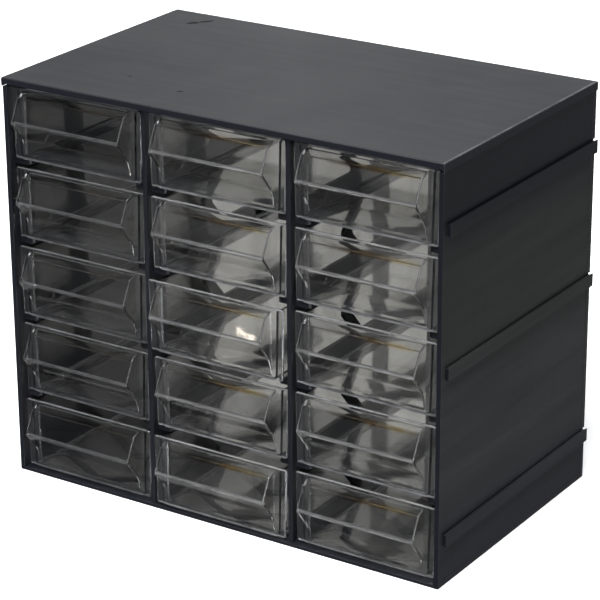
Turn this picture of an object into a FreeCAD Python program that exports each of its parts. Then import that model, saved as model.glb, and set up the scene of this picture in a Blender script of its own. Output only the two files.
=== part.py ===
import FreeCAD, Part
import math
import os
from FreeCAD import Vector as V

os.makedirs("parts", exist_ok=True)

# ---------------------------------------------------------------- driving dimensions, millimetres
W = 305.0            # width over the two side panels
D = 180.0            # depth of the case
H = 258.0            # height over the top cover
COLS, ROWS = 3, 5

WALL = 2.5           # side panel wall
LIP = 3.0            # width of the side panel's front edge
DIV_T = 2.8          # divider thickness
DIV_X = 50.2         # divider centre from the middle
DIV_FRONT = 2.0      # divider's front edge behind the case's front plane
DIV_REAR = 176.5
BASE_T = 2.0         # base plate
COVER_BAND = 4.0     # height of the cover's front edge
COVER_SKIRT = 5.5    # height of the cover's side and rear edge
COVER_OVER = 0.6     # cover overhang
REAR_RETURN = 22.0   # side panel's inward return at the rear
RETURN_T = 2.5

ROW_PITCH = 50.9
FRONT_REF = 45.0     # nominal height of a drawer front
FRONT_H = 44.7       # height of the drawer's front plate
FRONT_Z5 = 3.6       # underside of the lowest drawer front
FRONT_Y = 4.5        # drawer front plane behind the case's front plane

SEAT = 1.6           # drawer front's underside above what the drawer rides on
RIB_H = 1.3          # glide rib under the tray
RUN_W = 10.0         # runner width on a divider
RUN_W_OUT = 10.5     # runner width on a side panel
RUN_T = 3.2
RUN_Y0, RUN_Y1 = 7.0, 176.0

FLANGE_TOP_W = 95.8
FLANGE_BOT_W = 93.6
FLANGE_T = 1.6
FLANGE_R = 1.4
TRAY_TOP_W = 88.6
TRAY_BOT_W = 86.2
TRAY_H = 43.0
TRAY_L = 172.7       # from the drawer front's face to the rear wall
TRAY_T = 1.4
TRAY_R = 3.0
PULL_W = 79.0        # the pull across the drawer's front
PULL_T = 1.4
PULL_TOP_Z = 42.9    # where its shelf meets the front plate
PULL_SHELF_F = 5.5   # front corner of the shelf
PULL_SHELF_Z = 40.5
PULL_RIDGE_F = 11.5  # centre of the rounded ridge
PULL_RIDGE_Z = 26.0
PULL_RIDGE_R = 1.0
PULL_BAR_R = 1.4
PULL_FOOT_Z = 2.5

RIB_W = 5.5          # chevron ribs of the base plate
RIB_STEP = 39.5
RIB_SLOPE = 17.0 / 26.0

RAIL_OUT = 2.0       # connector rails on the outside of the side panels
RIGHT_RAILS = ((25.2, 33.4), (128.6, 136.8), (214.0, 222.2))
LEFT_RAILS = ((35.8, 44.0), (120.0, 128.2), (224.6, 232.8))
RAIL_Y0 = 5.0

STRAP_X = 3.0        # upright strap at the rear of the middle column
STRAP_W = 11.6

# how far each drawer stands forward of fully closed, row 1 at the top, column 1 at the left
FORWARD = {
    (1, 1): 1.2, (1, 2): 0.6, (1, 3): 0.6,
    (2, 1): 0.2, (2, 2): 0.4, (2, 3): 0.2,
    (3, 1): 0.4, (3, 2): 5.0, (3, 3): 0.4,
    (4, 1): 0.0, (4, 2): 0.8, (4, 3): 0.3,
    (5, 1): 1.0, (5, 2): 3.4, (5, 3): 0.5,
}

# The row frame has its origin on the underside of the base plate, in the middle of the case.
# Shapes are drawn with y = 0 at the case's front plane and are moved forward by half the depth.
SHIFT = V(0, -D / 2.0, 0)


def box(x0, x1, y0, y1, z0, z1):
    return Part.makeBox(x1 - x0, y1 - y0, z1 - z0, V(x0, y0, z0))


def prism(points, direction, length):
    """Straight prism over a closed polygon."""
    face = Part.Face(Part.makePolygon(points + [points[0]]))
    return face.extrude(direction * length)


def rounded(points, radii):
    """Closed wire through points with a rounded corner at each one."""
    n = len(points)
    edges, last = [], None
    ends = []
    for i in range(n):
        p, a, b = points[i], points[i - 1], points[(i + 1) % n]
        r = radii[i]
        u = (a - p).normalize()
        w = (b - p).normalize()
        ang = u.getAngle(w)
        if r <= 0:
            ends.append((p, p, None))
            continue
        cut = r / math.tan(ang / 2.0)
        p1, p2 = p + u * cut, p + w * cut
        bis = (u + w).normalize()
        centre = p + bis * (r / math.sin(ang / 2.0))
        mid = centre - bis * r
        ends.append((p1, p2, mid))
    for i in range(n):
        p1, p2, mid = ends[i]
        if mid is not None:
            edges.append(Part.Arc(p1, mid, p2).toShape())
        q = ends[(i + 1) % n][0]
        if (q - p2).Length > 1e-6:
            edges.append(Part.LineSegment(p2, q).toShape())
    return Part.Wire(edges)


def rounded_prism(points, radii, direction, length):
    return Part.Face(rounded(points, radii)).extrude(direction * length)


def export(shape, name):
    shape = shape.copy()
    shape.translate(SHIFT)
    if shape.ShapeType == "Compound" and len(shape.Solids) == 1:
        shape = shape.Solids[0]
    if not shape.isValid() or len(shape.Solids) != 1:
        print("CHECK", name, shape.isValid(), len(shape.Solids))
    shape.exportStep("parts/%s.step" % name)
    b = shape.BoundBox
    print("%-26s %8.1f mm3  x %.1f..%.1f y %.1f..%.1f z %.1f..%.1f" % (
        name, shape.Volume, b.XMin, b.XMax, b.YMin, b.YMax, b.ZMin, b.ZMax))


X, Y, Z = V(1, 0, 0), V(0, 1, 0), V(0, 0, 1)

front_z = {r: FRONT_Z5 + ROW_PITCH * (ROWS - r) for r in range(1, ROWS + 1)}
seat_z = {r: front_z[r] - SEAT for r in front_z}
bay = {
    1: (-(W / 2 - LIP), -(DIV_X + DIV_T / 2)),
    2: (-(DIV_X - DIV_T / 2), DIV_X - DIV_T / 2),
    3: (DIV_X + DIV_T / 2, W / 2 - LIP),
}
bay_x = {c: (b[0] + b[1]) / 2.0 for c, b in bay.items()}

# ---------------------------------------------------------------- top cover
# A flat tray turned upside down: the front edge is lower than the side and rear skirts.
cx, cy0, cy1 = W / 2 + COVER_OVER, -COVER_OVER, D + COVER_OVER
outer = box(-cx, cx, cy0, cy1, H - COVER_SKIRT, H)
edges = [e for e in outer.Edges if abs(e.BoundBox.ZMin - H) < 1e-6 and abs(e.BoundBox.ZMax - H) < 1e-6]
outer = outer.makeFillet(0.9, edges)
inner = box(-(W / 2 - 0.4), W / 2 - 0.4, 0.4, D - 0.4, H - COVER_SKIRT - 1, H - COVER_BAND)
front_gap = box(-(W / 2 - 0.4), W / 2 - 0.4, cy0 - 1, 0.5, H - COVER_SKIRT - 1, H - COVER_BAND)
cover = outer.cut(inner).cut(front_gap)
# shallow pockets under the plate leave a 2 mm skin between locating bars
for c in bay:
    x0, x1 = bay[c]
    cover = cover.cut(box(x0 + 6, x1 - 6, 12, D - 12, H - COVER_BAND - 1, H - 2.0))
export(cover, "top_cover")

# ---------------------------------------------------------------- base plate
# A flat plate between the side panels. Under each column it is an open grille of
# chevron ribs, with the point of each chevron towards the front.
bx = W / 2 - WALL
base = box(-bx, bx, 0.0, D, 0.0, BASE_T)
for s in (-1, 1):
    a, b = sorted((s * (W / 2 - LIP), s * (bx + 1)))
    base = base.cut(box(a, b, -1.0, 6.0, -1, BASE_T + 1))
    a, b = sorted((s * (W / 2 - REAR_RETURN), s * (bx + 1)))
    base = base.cut(box(a, b, D - RETURN_T, D + 1, -1, BASE_T + 1))
rib_dy = RIB_W / math.cos(math.atan(RIB_SLOPE))
for c in bay:
    x0, x1 = bay[c]
    xc = bay_x[c]
    half = (x1 - x0) / 2.0 - 5.5
    for k in range(-2, 6):
        ya = D / 2.0 + RIB_STEP * (k - 2) + rib_dy / 2.0
        yb = ya + RIB_STEP - rib_dy
        e = RIB_SLOPE * half
        pts = [V(xc - half, ya + e, -1), V(xc, ya, -1), V(xc + half, ya + e, -1),
               V(xc + half, yb + e, -1), V(xc, yb, -1), V(xc - half, yb + e, -1)]
        win = prism(pts, Z, BASE_T + 2).common(box(xc - half, xc + half, 9.0, D - 9.0, -2, 4))
        for piece in win.Solids:
            if piece.Volume > 4 * 60:
                base = base.cut(piece)
base = base.removeSplitter()
export(base, "base_plate")

# ---------------------------------------------------------------- side panels
def side_panel(sign, rails):
    s = sign
    xo, xi = W / 2, W / 2 - WALL
    z1 = H - COVER_SKIRT - 0.2
    def bx_(x0, x1, *r):
        a, b = sorted((s * x0, s * x1))
        return box(a, b, *r)
    p = bx_(xi, xo, 0.0, D, 0.0, z1)
    # thicker front edge
    p = p.fuse(bx_(W / 2 - LIP, xi + 0.5, 0.0, 6.0, 0.0, z1))
    # return at the rear
    p = p.fuse(bx_(xo - REAR_RETURN, xi + 0.5, D - RETURN_T, D, 0.0, z1))
    # tongue that locates the cover
    p = p.fuse(bx_(xo - 2.3, xo - 0.9, 3.0, D - 3.0, z1 - 1.0, H - COVER_BAND))
    # raised border: the field of the wall is slightly sunk
    p = p.cut(bx_(xo - 0.35, xo + 1, 4.5, D - 3.5, 3.0, z1 - 3.0))
    # connector rails: dovetail bars, undercut along the top and underside
    for z0, z2 in rails:
        yA, yB = RAIL_Y0, D
        und = 1.3
        pts = [V(s * (xo - 0.6), yA, z0 + und), V(s * (xo + RAIL_OUT), yA, z0), V(s * (xo + RAIL_OUT), yA, z2), V(s * (xo - 0.6), yA, z2 - und)]
        bar = prism(pts, Y, yB - yA)
        p = p.fuse(bar)
        # a dark groove runs along the root of the rail's top
        p = p.cut(bx_(xo - 1.0, xo + 0.05, yA, yB + 1, z2 - und, z2 + 0.4))
    return p.removeSplitter()

export(side_panel(-1, LEFT_RAILS), "left_side_panel")
export(side_panel(1, RIGHT_RAILS), "right_side_panel")

# ---------------------------------------------------------------- dividers
WIN_LOW, WIN_H = 9.3, 30.8
STRUT_V, STRUT_E, STRUT_W = 57.6, 71.2, 8.6   # vertex, end at the window's edge, width along the depth

def divider(xc):
    z1 = H - COVER_BAND
    d = box(xc - DIV_T / 2, xc + DIV_T / 2, DIV_FRONT, DIV_REAR, BASE_T, z1)
    for r in seat_z:
        b = seat_z[r]
        zl, zh = b + WIN_LOW, b + WIN_LOW + WIN_H
        zm = (zl + zh) / 2
        xs = xc - DIV_T
        front = [V(xs, 18.0, zl), V(xs, STRUT_E, zl), V(xs, STRUT_V, zm), V(xs, STRUT_E, zh), V(xs, 18.0, zh)]
        d = d.cut(rounded_prism(front, [2.5, 1.5, 3.0, 1.5, 2.5], X, DIV_T * 2))
        rear = [V(xs, STRUT_E + STRUT_W, zl), V(xs, 160.0, zl), V(xs, 160.0, zh), V(xs, STRUT_E + STRUT_W, zh), V(xs, STRUT_V + STRUT_W, zm)]
        d = d.cut(rounded_prism(rear, [2.5, 2.5, 2.5, 2.5, 3.0], X, DIV_T * 2))
    return d.removeSplitter()

export(divider(-DIV_X), "divider_left")
export(divider(DIV_X), "divider_right")

# ---------------------------------------------------------------- runners
# One bar under each side of each drawer, in the four upper rows. The lowest row rides on the base plate.
def runner(face_x, sign, width, z_top):
    """Bar from face_x, sign gives the way it stands out."""
    x0, x1 = face_x, face_x + sign * width
    pts = [V(x0, RUN_Y0, z_top - RUN_T), V(x1, RUN_Y0, z_top - RUN_T), V(x1, RUN_Y1, z_top - RUN_T), V(x0, RUN_Y1, z_top - RUN_T)]
    return rounded_prism(pts, [0, 3.0, 3.0, 0], Z, RUN_T)

for r in range(1, ROWS):
    for c in bay:
        x0, x1 = bay[c]
        w0 = w1 = RUN_W
        if c == 1:
            x0, w0 = -(W / 2 - WALL), RUN_W_OUT
        if c == 3:
            x1, w1 = W / 2 - WALL, RUN_W_OUT
        export(runner(x0, 1, w0, seat_z[r]), "runner_r%dc%d_left" % (r, c))
        export(runner(x1, -1, w1, seat_z[r]), "runner_r%dc%d_right" % (r, c))

# ---------------------------------------------------------------- rear strap
# The closing stop of the middle column. The returns of the side panels stop the outer columns.
export(box(STRAP_X - STRAP_W / 2, STRAP_X + STRAP_W / 2, D - RETURN_T, D - 0.5, BASE_T, H - COVER_BAND), "rear_strap")

# ---------------------------------------------------------------- drawers
def flange(top_w, bot_w, h, t, r, soft):
    """The drawer's front plate: a little narrower at the foot, with its front rim rounded."""
    pts = [V(-top_w / 2, 0, h), V(-bot_w / 2, 0, 0), V(bot_w / 2, 0, 0), V(top_w / 2, 0, h)]
    plate = rounded_prism(pts, [1.2, r, r, 1.2], Y, t)
    rim = [e for e in plate.Edges if e.BoundBox.YMax < 1e-4]
    return plate.makeFillet(soft, rim)


def pull_outline(back):
    """Side view of the pull, forward is -y: shelf, slanted face, rounded ridge, hollowed underside."""
    cf, cz, r = PULL_RIDGE_F, PULL_RIDGE_Z, PULL_RIDGE_R
    def on_ridge(deg):
        q = math.radians(deg)
        return V(0, -(cf + r * math.cos(q)), cz + r * math.sin(q))
    p0 = V(0, 0.0, PULL_TOP_Z)
    corner = V(0, -PULL_SHELF_F, PULL_SHELF_Z)
    upper = on_ridge(26.5)
    # the shelf and the slanted face meet in a small radius
    u = (p0 - corner).normalize()
    w = (upper - corner).normalize()
    half = u.getAngle(w) / 2.0
    soft = 1.0
    k1, k2 = corner + u * (soft / math.tan(half)), corner + w * (soft / math.tan(half))
    bis = (u + w).normalize()
    km = corner + bis * (soft / math.sin(half) - soft)
    lower = on_ridge(-38.3)
    d1, dm, d2 = V(0, -5.2, FRONT_REF - 28.6), V(0, -2.15, FRONT_REF - 33.2), V(0, -0.7, FRONT_REF - 38.6)
    end = V(0, -0.02, PULL_FOOT_Z)
    return Part.Wire([
        Part.LineSegment(V(0, back, PULL_TOP_Z), p0).toShape(),
        Part.LineSegment(p0, k1).toShape(),
        Part.Arc(k1, km, k2).toShape(),
        Part.LineSegment(k2, upper).toShape(),
        Part.Arc(upper, on_ridge(-6.0), lower).toShape(),
        Part.LineSegment(lower, d1).toShape(),
        Part.Arc(d1, dm, d2).toShape(),
        Part.LineSegment(d2, end).toShape(),
        Part.LineSegment(end, V(0, back, PULL_FOOT_Z)).toShape(),
        Part.LineSegment(V(0, back, PULL_FOOT_Z), V(0, back, PULL_TOP_Z)).toShape(),
    ])


def drawer():
    # tray
    def section(inset, h_extra, z0):
        tw, bw = TRAY_TOP_W / 2 - inset, TRAY_BOT_W / 2 - inset
        return [V(-tw, 0, TRAY_H + h_extra), V(-bw, 0, z0), V(bw, 0, z0), V(tw, 0, TRAY_H + h_extra)]
    out = rounded_prism(section(0, 0, 0), [0, TRAY_R, TRAY_R, 0], Y, TRAY_L)
    rear = [e for e in out.Edges if e.BoundBox.YMin > TRAY_L - 1e-4 and e.BoundBox.ZMax < TRAY_H - 0.1 or
            (e.BoundBox.YMin > TRAY_L - 1e-4 and e.BoundBox.ZLength > 10)]
    out = out.makeFillet(2.4, rear)
    inn = rounded_prism(section(TRAY_T, 6, TRAY_T), [0, TRAY_R - TRAY_T, TRAY_R - TRAY_T, 0], Y, TRAY_L - TRAY_T - FLANGE_T)
    inn.translate(V(0, FLANGE_T, 0))
    rear = [e for e in inn.Edges if e.BoundBox.YMin > TRAY_L - TRAY_T - 1e-4 and e.BoundBox.ZMax < TRAY_H + 5.9 or
            (e.BoundBox.YMin > TRAY_L - TRAY_T - 1e-4 and e.BoundBox.ZLength > 10)]
    inn = inn.makeFillet(1.2, rear)
    body = flange(FLANGE_TOP_W, FLANGE_BOT_W, FRONT_H, FLANGE_T, FLANGE_R, 0.7)
    body = body.fuse(out).cut(inn)
    # glide ribs
    for s in (-1, 1):
        x = s * 41.0
        body = body.fuse(box(x - 0.8, x + 0.8, 8.0, TRAY_L - 8.0, -RIB_H, 1.2))
    # pull: a hollow shell, open to the inside of the drawer
    shell = Part.Face(pull_outline(0.8)).extrude(X * PULL_W)
    shell.translate(V(-PULL_W / 2, 0, 0))
    ends = [e for e in shell.Edges if e.BoundBox.XLength < 1e-4 and e.BoundBox.YMax < 0.01]
    shell = shell.makeFillet(0.5, ends)
    hollow_wire = pull_outline(FLANGE_T + PULL_T + 0.2).makeOffset2D(-PULL_T, 2)
    hollow = Part.Face(hollow_wire).extrude(X * (PULL_W - 2 * PULL_T))
    hollow.translate(V(-(PULL_W / 2 - PULL_T), 0, 0))
    # the ridge itself is a solid round bar
    bar = Part.makeCylinder(PULL_BAR_R, PULL_W, V(-PULL_W / 2, -PULL_RIDGE_F, PULL_RIDGE_Z), X)
    hollow = hollow.cut(bar)
    body = body.fuse(shell).cut(hollow)
    return body.removeSplitter()


one = drawer()
print("drawer solid valid", one.isValid(), len(one.Solids), "volume", round(one.Volume, 1))
for r in range(1, ROWS + 1):
    for c in range(1, COLS + 1):
        d = one.copy()
        d.translate(V(bay_x[c], FRONT_Y - FORWARD[(r, c)], front_z[r]))
        export(d, "drawer_r%dc%d" % (r, c))
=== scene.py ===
import math
import random

import bpy
from mathutils import Matrix, Vector

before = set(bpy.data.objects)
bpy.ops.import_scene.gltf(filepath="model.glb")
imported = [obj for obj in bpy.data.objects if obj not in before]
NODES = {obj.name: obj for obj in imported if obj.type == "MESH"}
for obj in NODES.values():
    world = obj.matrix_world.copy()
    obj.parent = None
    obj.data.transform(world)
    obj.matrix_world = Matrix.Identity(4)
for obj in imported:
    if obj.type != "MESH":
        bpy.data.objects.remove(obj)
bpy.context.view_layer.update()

random.seed(11)
scene = bpy.context.scene


# ------------------------------------------------------------------ node helpers
def material(name):
    m = bpy.data.materials.new(name)
    m.use_nodes = True
    nt = m.node_tree
    nt.nodes.clear()
    return m, nt


def add(nt, kind, **props):
    n = nt.nodes.new(kind)
    for k, v in props.items():
        if k.startswith("in_"):
            n.inputs[k[3:]].default_value = v
        else:
            setattr(n, k, v)
    return n


def link(nt, a, b):
    nt.links.new(a, b)


def noise(nt, coord, scale, detail=4.0, rough=0.55, distortion=0.0):
    n = add(nt, "ShaderNodeTexNoise")
    n.inputs["Scale"].default_value = scale
    n.inputs["Detail"].default_value = detail
    n.inputs["Roughness"].default_value = rough
    n.inputs["Distortion"].default_value = distortion
    link(nt, coord, n.inputs["Vector"])
    return n.outputs["Fac"]


def stretch(nt, coord, scale, loc=(0, 0, 0), rot=(0, 0, 0)):
    m = add(nt, "ShaderNodeMapping")
    m.inputs["Scale"].default_value = scale
    m.inputs["Location"].default_value = loc
    m.inputs["Rotation"].default_value = rot
    link(nt, coord, m.inputs["Vector"])
    return m.outputs["Vector"]


def ramp(nt, fac, stops):
    r = add(nt, "ShaderNodeValToRGB")
    e = r.color_ramp.elements
    while len(e) < len(stops):
        e.new(0.5)
    for el, (p, c) in zip(e, stops):
        el.position = p
        el.color = c if len(c) == 4 else (*c, 1)
    link(nt, fac, r.inputs["Fac"])
    return r.outputs["Color"]


def remap(nt, fac, a, b, c, d, clamp=True):
    m = add(nt, "ShaderNodeMapRange")
    m.clamp = clamp
    m.inputs["From Min"].default_value = a
    m.inputs["From Max"].default_value = b
    m.inputs["To Min"].default_value = c
    m.inputs["To Max"].default_value = d
    link(nt, fac, m.inputs["Value"])
    return m.outputs["Result"]


def math_node(nt, op, a, b=None):
    m = add(nt, "ShaderNodeMath", operation=op)
    for i, v in enumerate((a, b)):
        if v is None:
            continue
        if isinstance(v, (int, float)):
            m.inputs[i].default_value = v
        else:
            link(nt, v, m.inputs[i])
    return m.outputs[0]


def mix(nt, fac, a, b, blend="MIX"):
    m = add(nt, "ShaderNodeMix", data_type="RGBA", blend_type=blend)
    if isinstance(fac, (int, float)):
        m.inputs["Factor"].default_value = fac
    else:
        link(nt, fac, m.inputs["Factor"])
    for sock, v in (("A", a), ("B", b)):
        s = [i for i in m.inputs if i.name == sock and i.type == "RGBA"][0]
        if isinstance(v, (tuple, list)):
            s.default_value = (*v, 1) if len(v) == 3 else v
        else:
            link(nt, v, s)
    return [o for o in m.outputs if o.type == "RGBA"][0]


def bump(nt, height, strength, distance, normal=None):
    b = add(nt, "ShaderNodeBump")
    b.inputs["Strength"].default_value = strength
    b.inputs["Distance"].default_value = distance
    link(nt, height, b.inputs["Height"])
    if normal is not None:
        link(nt, normal, b.inputs["Normal"])
    return b.outputs["Normal"]


def finish_material(nt, bsdf):
    out = add(nt, "ShaderNodeOutputMaterial")
    link(nt, bsdf.outputs["BSDF"], out.inputs["Surface"])


# ------------------------------------------------------------------ black moulded plastic
def case_parts(name, rough_lo, rough_hi, specular):
    m, nt = material(name)
    co = add(nt, "ShaderNodeTexCoord").outputs["Object"]
    p = add(nt, "ShaderNodeBsdfPrincipled")
    p.inputs["IOR"].default_value = 1.52
    p.inputs["Specular IOR Level"].default_value = specular
    # soft cloudy mottle, long drag marks and fine speckle
    cloud = noise(nt, co, 12.0, 5.0, 0.6, 0.6)
    drag = noise(nt, stretch(nt, co, (9.0, 160.0, 40.0), rot=(0, 0, 0.35)), 1.0, 4.0, 0.55)
    speck = noise(nt, co, 900.0, 2.0, 0.5)
    fac = math_node(nt, "ADD", math_node(nt, "MULTIPLY", cloud, 0.62), math_node(nt, "MULTIPLY", drag, 0.38))
    rough = math_node(nt, "ADD", remap(nt, fac, 0.3, 0.7, rough_lo, rough_hi), math_node(nt, "MULTIPLY", speck, 0.05))
    grain = noise(nt, co, 1500.0, 2.0, 0.6)
    wave = noise(nt, co, 22.0, 2.0, 0.5)
    # faint flow lines of the moulding, along the depth
    flow = noise(nt, stretch(nt, co, (6.0, 5.0, 85.0), rot=(0.05, 0.0, 0.0)), 1.0, 3.0, 0.55, 0.3)
    n1 = bump(nt, grain, 0.10, 0.00012)
    n2 = bump(nt, wave, 0.12, 0.0012, n1)
    n3 = bump(nt, flow, 0.30, 0.0010, n2)
    link(nt, n3, p.inputs["Normal"])
    return m, nt, co, p, fac, rough, flow


def edge_band(nt, value, at, width):
    """1 within the width of a coordinate's value, falling off softly."""
    d = math_node(nt, "ABSOLUTE", math_node(nt, "SUBTRACT", value, at))
    return remap(nt, d, width * 0.5, width, 1.0, 0.0)


def case_material(name, base, worn, rough_lo, rough_hi, specular=0.5):
    m, nt, co, p, fac, rough, flow = case_parts(name, rough_lo, rough_hi, specular)
    link(nt, mix(nt, remap(nt, fac, 0.36, 0.66, 0.0, 1.0), base, worn), p.inputs["Base Color"])
    link(nt, rough, p.inputs["Roughness"])
    finish_material(nt, p)
    return m


def side_material(name, rough_lo, rough_hi, specular=0.5):
    """A side panel: painted reflected light and shade, darker and bluer at the head, paler and warmer in the middle,
    streaked along the depth.
    """
    m, nt, co, p, fac, rough, flow = case_parts(name, rough_lo, rough_hi, specular)
    sep = add(nt, "ShaderNodeSeparateXYZ")
    link(nt, co, sep.inputs[0])
    height = math_node(nt, "ADD", sep.outputs[2], math_node(nt, "MULTIPLY", sep.outputs[1], 0.04))
    # painted light: the base colour is graded by height to stand in for the gradient of reflected light
    painted_light_tone = ramp(nt, remap(nt, height, 0.0, 0.258, 0.0, 1.0), [
        (0.00, (0.014, 0.0145, 0.021)), (0.11, (0.018, 0.019, 0.025)), (0.20, (0.029, 0.031, 0.033)),
        (0.42, (0.030, 0.0315, 0.033)), (0.58, (0.0225, 0.0240, 0.0225)), (0.74, (0.0185, 0.0200, 0.0190)),
        (0.80, (0.0120, 0.0135, 0.0150)), (0.845, (0.0040, 0.0048, 0.0085)), (1.0, (0.0035, 0.0042, 0.0080))])
    streaks = math_node(nt, "ADD", math_node(nt, "MULTIPLY", flow, 0.7), math_node(nt, "MULTIPLY", fac, 0.3))
    k = remap(nt, streaks, 0.34, 0.64, 0.72, 1.30)
    grey = add(nt, "ShaderNodeCombineColor")
    for i in range(3):
        link(nt, k, grey.inputs[i])
    # the faces to the front and rear and the inside get no painted light gradient, only the plain dark colour
    geo = add(nt, "ShaderNodeNewGeometry")
    way = add(nt, "ShaderNodeSeparateXYZ")
    link(nt, geo.outputs["True Normal"], way.inputs[0])
    across = remap(nt, math_node(nt, "ABSOLUTE", way.outputs[1]), 0.5, 0.9, 0.0, 1.0)
    inner = remap(nt, math_node(nt, "ABSOLUTE", sep.outputs[0]), 0.1506, 0.1512, 1.0, 0.0)
    across = math_node(nt, "MAXIMUM", across, inner)
    link(nt, mix(nt, across, mix(nt, 1.0, painted_light_tone, grey.outputs[0], "MULTIPLY"), (0.0040, 0.0049, 0.0090)), p.inputs["Base Color"])
    link(nt, rough, p.inputs["Roughness"])
    finish_material(nt, p)
    return m


def cover_material(name, edge, base, worn, rough_lo, rough_hi, specular=0.5):
    """The cover: paler on top as painted light, dark on its edges, with a few dark marks and painted highlights on
    two rims.
    """
    m, nt, co, p, fac, rough, flow = case_parts(name, rough_lo, rough_hi, specular)
    broad = noise(nt, stretch(nt, co, (10.0, 7.0, 1.0), rot=(0, 0, 0.5)), 1.0, 3.0, 0.55, 0.5)
    top = mix(nt, remap(nt, math_node(nt, "ADD", math_node(nt, "MULTIPLY", fac, 0.5), math_node(nt, "MULTIPLY", broad, 0.5)), 0.36, 0.64, 0.0, 1.0), base, worn)

    def spot(cx, cy, rx, ry, ang, wob):
        mp = add(nt, "ShaderNodeMapping", vector_type="TEXTURE")
        mp.inputs["Location"].default_value = (cx, cy, 0.258)
        mp.inputs["Rotation"].default_value = (0, 0, ang)
        mp.inputs["Scale"].default_value = (rx, ry, 0.01)
        link(nt, co, mp.inputs["Vector"])
        ln = add(nt, "ShaderNodeVectorMath", operation="LENGTH")
        link(nt, mp.outputs["Vector"], ln.inputs[0])
        edge = math_node(nt, "ADD", ln.outputs["Value"], math_node(nt, "MULTIPLY", noise(nt, co, wob, 3.0, 0.6), 1.1))
        return remap(nt, edge, 1.30, 1.62, 1.0, 0.0)

    # a dark rub near the rear left and two small flecks
    marks = [spot(-0.1243, 0.0683, 0.0046, 0.0026, 0.95, 420.0), spot(-0.1192, 0.0751, 0.0054, 0.0021, 0.93, 500.0),
             spot(-0.0448, -0.058, 0.0020, 0.0014, 0.6, 700.0), spot(-0.0885, -0.0482, 0.0012, 0.0009, 0.2, 700.0)]
    dark = marks[0]
    for k in marks[1:]:
        dark = math_node(nt, "MAXIMUM", dark, k)
    # painted shade: the top is darkened towards the front left and rear right corners
    pos = add(nt, "ShaderNodeSeparateXYZ")
    link(nt, co, pos.inputs[0])
    off = math_node(nt, "ABSOLUTE", math_node(nt, "ADD", math_node(nt, "MULTIPLY", pos.outputs[0], 0.84), math_node(nt, "MULTIPLY", pos.outputs[1], 0.54)))
    top = mix(nt, remap(nt, off, 0.0, 0.14, 0.0, 1.0), top, (0.0065, 0.0075, 0.0100))
    top = mix(nt, dark, top, (0.0008, 0.0008, 0.0008))
    # painted light: what faces up is painted paler than the edges
    geo = add(nt, "ShaderNodeNewGeometry")
    sep = add(nt, "ShaderNodeSeparateXYZ")
    link(nt, geo.outputs["True Normal"], sep.inputs[0])
    up = remap(nt, sep.outputs[2], 0.55, 0.90, 0.0, 1.0)
    col = mix(nt, up, edge, top)
    # painted highlights along the rims at the rear and the right
    rim = math_node(nt, "MAXIMUM", edge_band(nt, pos.outputs[0], 0.1525, 0.0011), edge_band(nt, pos.outputs[1], 0.090, 0.0012))
    rim = math_node(nt, "MULTIPLY", math_node(nt, "MULTIPLY", rim, up), remap(nt, noise(nt, co, 45.0, 3.0, 0.6), 0.35, 0.6, 0.25, 1.0))
    col = mix(nt, rim, col, (0.085, 0.090, 0.098))
    link(nt, col, p.inputs["Base Color"])
    link(nt, math_node(nt, "ADD", rough, math_node(nt, "MULTIPLY", dark, 0.5)), p.inputs["Roughness"])
    finish_material(nt, p)
    return m


CASE = case_material("case_black", (0.0035, 0.0044, 0.0085), (0.0080, 0.0088, 0.0130), 0.36, 0.50)
SIDE = side_material("side_black", 0.38, 0.50, 0.45)
COVER = cover_material("cover_black", (0.0060, 0.0070, 0.0115), (0.0130, 0.0145, 0.0170), (0.0275, 0.0295, 0.0320), 0.36, 0.50)


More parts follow.
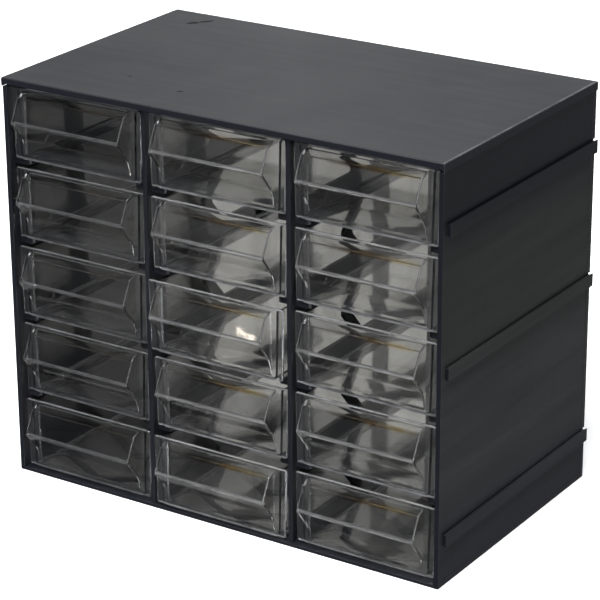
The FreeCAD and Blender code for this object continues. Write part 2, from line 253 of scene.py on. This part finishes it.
# ------------------------------------------------------------------ clear drawers
# Every drawer has the same box, so its generated coordinates give the same place on each, in millimetres here:
# x from the middle, y from the front plate's face (the pull is in front of it), z from the front plate's foot.
def clear_material(name, tint, edge_highlight_amount, milk):
    m, nt = material(name)
    tc = add(nt, "ShaderNodeTexCoord")
    co = tc.outputs["Object"]
    p = add(nt, "ShaderNodeBsdfPrincipled")
    p.inputs["IOR"].default_value = 1.56
    gen = add(nt, "ShaderNodeSeparateXYZ")
    link(nt, tc.outputs["Generated"], gen.inputs[0])
    x = remap(nt, gen.outputs[0], 0.0, 1.0, -47.9, 47.9, False)
    y = remap(nt, gen.outputs[1], 0.0, 1.0, -12.5, 172.7, False)
    z = remap(nt, gen.outputs[2], 0.0, 1.0, -1.3, 44.7, False)
    ax = math_node(nt, "ABSOLUTE", x)

    def above(v, at, soft):
        return remap(nt, v, at - soft, at + soft, 0.0, 1.0)

    def below(v, at, soft):
        return remap(nt, v, at - soft, at + soft, 1.0, 0.0)

    def both(*v):
        r = v[0]
        for k in v[1:]:
            r = math_node(nt, "MULTIPLY", r, k)
        return r

    def either(*v):
        r = v[0]
        for k in v[1:]:
            r = math_node(nt, "MAXIMUM", r, k)
        return r

    haze = noise(nt, co, 60.0, 4.0, 0.6, 0.4)
    scuff = noise(nt, stretch(nt, co, (60.0, 60.0, 900.0), rot=(0.2, 0.0, 0.3)), 1.0, 3.0, 0.6)
    patchy = noise(nt, co, 70.0, 3.0, 0.65)
    # painted highlights on the edges: pale lines on the rim of the front plate, the ridge of the pull and the pull's
    # ends
    plate = both(above(y, -0.35, 0.1), below(y, 1.0, 0.3))
    side_at = math_node(nt, "ADD", math_node(nt, "MULTIPLY", z, 0.0246), 46.8)
    from_side = math_node(nt, "SUBTRACT", side_at, ax)
    rim = both(plate, either(above(z, 44.15, 0.2), below(z, 1.5, 0.3), below(from_side, 0.45, 0.2)))
    ridge = both(below(y, -11.95, 0.15), above(z, 24.6, 0.3))
    ends = both(below(y, -0.5, 0.2), above(ax, 38.9, 0.12), below(ax, 39.42, 0.05))
    painted_edge_highlight = either(math_node(nt, "MULTIPLY", rim, 0.85), math_node(nt, "MULTIPLY", ridge, 0.40), math_node(nt, "MULTIPLY", ends, 0.55))
    painted_edge_highlight = both(painted_edge_highlight, remap(nt, patchy, 0.36, 0.62, 0.45, 1.0))
    # painted colour fringe of dispersed light along the front corner of the pull's shelf
    warm = both(below(y, -3.7, 0.6), above(y, -6.4, 0.25), above(z, 38.8, 0.3), remap(nt, x, -34.0, -8.0, 0.0, 1.0), below(x, 38.0, 1.0))
    warm = both(warm, remap(nt, patchy, 0.30, 0.55, 0.5, 1.0))
    hue = ramp(nt, remap(nt, x, -34.0, 38.0, 0.0, 1.0), [
        (0.0, (0.34, 0.31, 0.28)), (0.35, (0.36, 0.29, 0.20)), (0.60, (0.72, 0.48, 0.20)), (0.85, (0.92, 0.76, 0.42)), (1.0, (0.95, 0.92, 0.80))])
    col = mix(nt, remap(nt, haze, 0.35, 0.7, 0.0, 1.0), (0.965, 0.965, 0.955), (0.935, 0.93, 0.91))
    # the painted fringe's colour, dark brown on the left and yellow on the right
    col = mix(nt, math_node(nt, "MULTIPLY", warm, tint), col, hue)
    # the painted edge highlights get a pale blue-white colour
    col = mix(nt, painted_edge_highlight, col, (0.86, 0.88, 0.93))
    link(nt, col, p.inputs["Base Color"])
    cloudy = remap(nt, haze, 0.35, 0.70, milk * 0.6, milk * 1.5)
    # painted highlight: the edge lines let less light through and are rougher
    link(nt, math_node(nt, "SUBTRACT", 1.0, math_node(nt, "ADD", math_node(nt, "MULTIPLY", painted_edge_highlight, edge_highlight_amount), cloudy)), p.inputs["Transmission Weight"])
    r = math_node(nt, "ADD", remap(nt, haze, 0.35, 0.7, 0.010, 0.045), remap(nt, scuff, 0.60, 0.75, 0.0, 0.05))
    link(nt, math_node(nt, "ADD", r, math_node(nt, "MULTIPLY", painted_edge_highlight, 0.15)), p.inputs["Roughness"])
    sink = noise(nt, co, 45.0, 2.0, 0.5)
    n = bump(nt, sink, 0.10, 0.0003)
    link(nt, n, p.inputs["Normal"])
    finish_material(nt, p)
    return m


CLEAR = clear_material("clear_drawer", 1.0, 0.24, 0.007)
# painted shade: the left column's drawers get a copy with weaker painted highlights and fringe and no cloudiness, so
# they read darker
CLEAR_LEFT_SHADED = clear_material("clear_drawer_left_shaded", 0.4, 0.14, 0.0)


def stage_material(name, lo, hi, glow=0.0):
    m, nt = material(name)
    tc = add(nt, "ShaderNodeTexCoord")
    p = add(nt, "ShaderNodeBsdfPrincipled")
    n = noise(nt, tc.outputs["Object"], 3.0, 3.0)
    col = mix(nt, n, (lo, lo, lo), (hi, hi, hi))
    link(nt, col, p.inputs["Base Color"])
    p.inputs["Roughness"].default_value = 0.8
    p.inputs["Specular IOR Level"].default_value = 0.2
    p.inputs["Emission Color"].default_value = (1.0, 1.0, 1.0, 1.0)
    p.inputs["Emission Strength"].default_value = glow
    finish_material(nt, p)
    return m


FLOOR = stage_material("floor_pale", 0.86, 0.90, 0.50)
SHADE = stage_material("floor_shade", 0.16, 0.22)


# ------------------------------------------------------------------ CAD nodes get softened edges and materials
def dress(obj, mat, width, segments=2, angle=30.0):
    obj.data.materials.clear()
    obj.data.materials.append(mat)
    w = obj.modifiers.new("weld", "WELD")
    w.merge_threshold = 0.00001
    d = obj.modifiers.new("planar", "DECIMATE")
    d.decimate_type = "DISSOLVE"
    d.angle_limit = math.radians(0.6)
    if width > 0:
        b = obj.modifiers.new("edges", "BEVEL")
        b.width = width
        b.segments = segments
        b.limit_method = "ANGLE"
        b.angle_limit = math.radians(angle)
        b.use_clamp_overlap = True
        b.harden_normals = False
    n = obj.modifiers.new("normals", "WEIGHTED_NORMAL")
    n.keep_sharp = False
    for poly in obj.data.polygons:
        poly.use_smooth = True


def dress_clear(obj, mat):
    obj.data.materials.clear()
    obj.data.materials.append(mat)
    w = obj.modifiers.new("weld", "WELD")
    w.merge_threshold = 0.00001
    for poly in obj.data.polygons:
        poly.use_smooth = True
    e = obj.modifiers.new("sharp", "EDGE_SPLIT")
    e.use_edge_sharp = False
    e.split_angle = math.radians(32.0)
    n = obj.modifiers.new("normals", "WEIGHTED_NORMAL")
    n.keep_sharp = True


for name, obj in NODES.items():
    if name.startswith("drawer_"):
        dress_clear(obj, CLEAR_LEFT_SHADED if name.endswith("c1") else CLEAR)
    elif name == "top_cover":
        dress(obj, COVER, 0.0003)
    elif name.endswith("side_panel"):
        dress(obj, SIDE, 0.00025)
    else:
        dress(obj, CASE, 0.00025)

# ------------------------------------------------------------------ floor
bpy.ops.mesh.primitive_plane_add(size=12.0, location=(0, 0, -0.0002))
floor = bpy.context.object
floor.name = "floor"
floor.data.materials.append(FLOOR)
floor.visible_glossy = False
floor.visible_transmission = False
floor.visible_diffuse = False
# the patch of floor that the cabinet stands on is painted dark as its shade, and shows through the windows of the
# base
bpy.ops.mesh.primitive_plane_add(size=1.0, location=(0, 0, -0.0001))
patch = bpy.context.object
patch.name = "floor_under"
patch.scale = (0.300, 0.178, 1.0)
patch.data.materials.append(SHADE)

# ------------------------------------------------------------------ light
# The open background is white; what the object reflects and refracts is a soft grey studio,
# brighter overhead and behind, dimmer low in front.
world = bpy.data.worlds.new("studio")
scene.world = world
world.use_nodes = True
wn = world.node_tree
wn.nodes.clear()
wtc = add(wn, "ShaderNodeTexCoord")
wdir = wtc.outputs["Generated"]
wsep = add(wn, "ShaderNodeSeparateXYZ")
link(wn, wdir, wsep.inputs[0])


def panel(total, toward, inner, outer, colour, strength):
    """A soft round glow seen in one direction: full within the inner angle, gone at the outer one, in degrees."""
    d = add(wn, "ShaderNodeVectorMath", operation="DOT_PRODUCT")
    link(wn, wdir, d.inputs[0])
    d.inputs[1].default_value = Vector(toward).normalized()
    m = add(wn, "ShaderNodeMapRange", interpolation_type="SMOOTHSTEP")
    m.inputs["From Min"].default_value = math.cos(math.radians(outer))
    m.inputs["From Max"].default_value = math.cos(math.radians(inner))
    link(wn, d.outputs["Value"], m.inputs["Value"])
    return mix(wn, m.outputs["Result"], total, tuple(c * strength for c in colour), "ADD")


sky = ramp(wn, remap(wn, wsep.outputs[2], -1.0, 1.0, 0.0, 1.0), [
    (0.00, (0.065, 0.065, 0.07)), (0.50, (0.058, 0.062, 0.072)), (1.00, (0.07, 0.075, 0.09))])
sky = panel(sky, (-0.543, 0.769, -0.337), 10, 35, (1.0, 1.0, 0.95), 0.25)    # low behind, left
sky = panel(sky, (-0.45, 0.55, -0.70), 10, 30, (1.0, 0.99, 0.96), 0.245)     # lower behind, left
sky = panel(sky, (-0.90, 0.35, -0.30), 8, 28, (0.93, 1.0, 1.0), 0.60)        # low, left
sky = panel(sky, (-0.543, 0.769, 0.36), 10, 32, (1.0, 0.98, 0.98), 0.50)     # behind, left
sky = panel(sky, (0.543, 0.769, -0.40), 10, 32, (1.0, 1.0, 0.94), 0.15)      # low behind, right
sky = panel(sky, (0.543, 0.769, 0.40), 10, 32, (1.0, 0.98, 1.0), 0.53)       # behind, right
sky = panel(sky, (-0.543, -0.769, -0.30), 10, 30, (0.90, 0.96, 1.06), 0.15)  # low in front, left
sky = panel(sky, (-0.50, -0.30, 0.80), 12, 32, (1.0, 1.0, 0.90), 0.12)       # overhead
sky = panel(sky, (-0.20, 0.60, 0.80), 12, 36, (0.90, 1.0, 1.0), 0.36)        # overhead, behind
sky = panel(sky, (0.77, -0.54, -0.34), 10, 30, (0.96, 0.98, 1.0), 1.1)       # low, right of the front
sky = panel(sky, (0.60, -0.60, 0.50), 10, 34, (1.0, 1.0, 1.0), 0.8)          # high, right of the front
sky = panel(sky, (0.10, 0.30, -0.95), 12, 34, (1.0, 1.0, 1.0), 0.6)          # floor
# small bright lamps that only the rounded edges mirror
sky = panel(sky, (0.77, -0.54, -0.34), 3, 8, (0.95, 0.97, 1.0), 12.0)
sky = panel(sky, (-0.86, 0.38, -0.34), 3, 8, (0.95, 0.97, 1.0), 8.0)
bg = add(wn, "ShaderNodeBackground")
link(wn, sky, bg.inputs["Color"])
bg.inputs["Strength"].default_value = 1.0
bg_cam = add(wn, "ShaderNodeBackground")
bg_cam.inputs["Color"].default_value = (1.0, 1.0, 1.0, 1.0)
bg_cam.inputs["Strength"].default_value = 1.0
lp = add(wn, "ShaderNodeLightPath")
ms = add(wn, "ShaderNodeMixShader")
link(wn, lp.outputs["Is Camera Ray"], ms.inputs[0])
link(wn, bg.outputs[0], ms.inputs[1])
link(wn, bg_cam.outputs[0], ms.inputs[2])
wo = add(wn, "ShaderNodeOutputWorld")
link(wn, ms.outputs[0], wo.inputs[0])


def area(name, loc, target, size, power, colour=(1, 1, 1)):
    d = bpy.data.lights.new(name, "AREA")
    d.shape = "RECTANGLE"
    d.size, d.size_y = size
    d.energy = power
    d.color = colour
    o = bpy.data.objects.new(name, d)
    o.location = loc
    v = Vector(target) - Vector(loc)
    o.rotation_euler = v.to_track_quat("-Z", "Y").to_euler()
    scene.collection.objects.link(o)
    return o


sun_d = bpy.data.lights.new("key", "SUN")
sun_d.energy = 5.6
sun_d.angle = math.radians(38.0)
sun = bpy.data.objects.new("key", sun_d)
sun.rotation_euler = Vector((-0.03, 0.55, -0.85)).to_track_quat("-Z", "Y").to_euler()
scene.collection.objects.link(sun)
# pale light thrown back by the floor and table onto the right side
fill_d = bpy.data.lights.new("fill", "SUN")
fill_d.energy = 2.4
fill_d.angle = math.radians(34.0)
fill = bpy.data.objects.new("fill", fill_d)
fill.rotation_euler = Vector((-0.94, 0.28, 0.20)).to_track_quat("-Z", "Y").to_euler()
scene.collection.objects.link(fill)
LAMP = area("lamp", (0.0292 - 0.5235 * 2.0, -0.1011 - 0.7672 * 2.0, 0.1362 + 0.3706 * 2.0), (0.03, -0.1, 0.136), (0.024, 0.007), 0.006, (1.0, 0.86, 0.72))

# ------------------------------------------------------------------ camera, from the solved view
cam_d = bpy.data.cameras.new("camera")
cam = bpy.data.objects.new("camera", cam_d)
scene.collection.objects.link(cam)
cam_d.sensor_fit = "HORIZONTAL"
cam_d.sensor_width = 36.0
cam_d.lens = 36.0 * 2621.08 / 600.0
cam_d.clip_start, cam_d.clip_end = 0.05, 30.0
right = Vector((0.83821005, 0.54531855, -0.00562124)).normalized()
down = Vector((0.19613151, -0.31105996, -0.92993233)).normalized()
ahead = right.cross(down).normalized()
rot = Matrix((right, -down, -ahead)).transposed()
cam.matrix_world = Matrix.Translation(Vector((0.81938, -1.16285 - 0.090, 0.70859))) @ rot.to_4x4()
scene.camera = cam

scene.view_settings.view_transform = "Standard"
scene.view_settings.look = "None"
scene.cycles.max_bounces = 32
scene.cycles.transmission_bounces = 32
scene.cycles.transparent_max_bounces = 32
scene.cycles.glossy_bounces = 12
scene.cycles.caustics_reflective = True
scene.cycles.caustics_refractive = True
scene.cycles.use_denoising = True
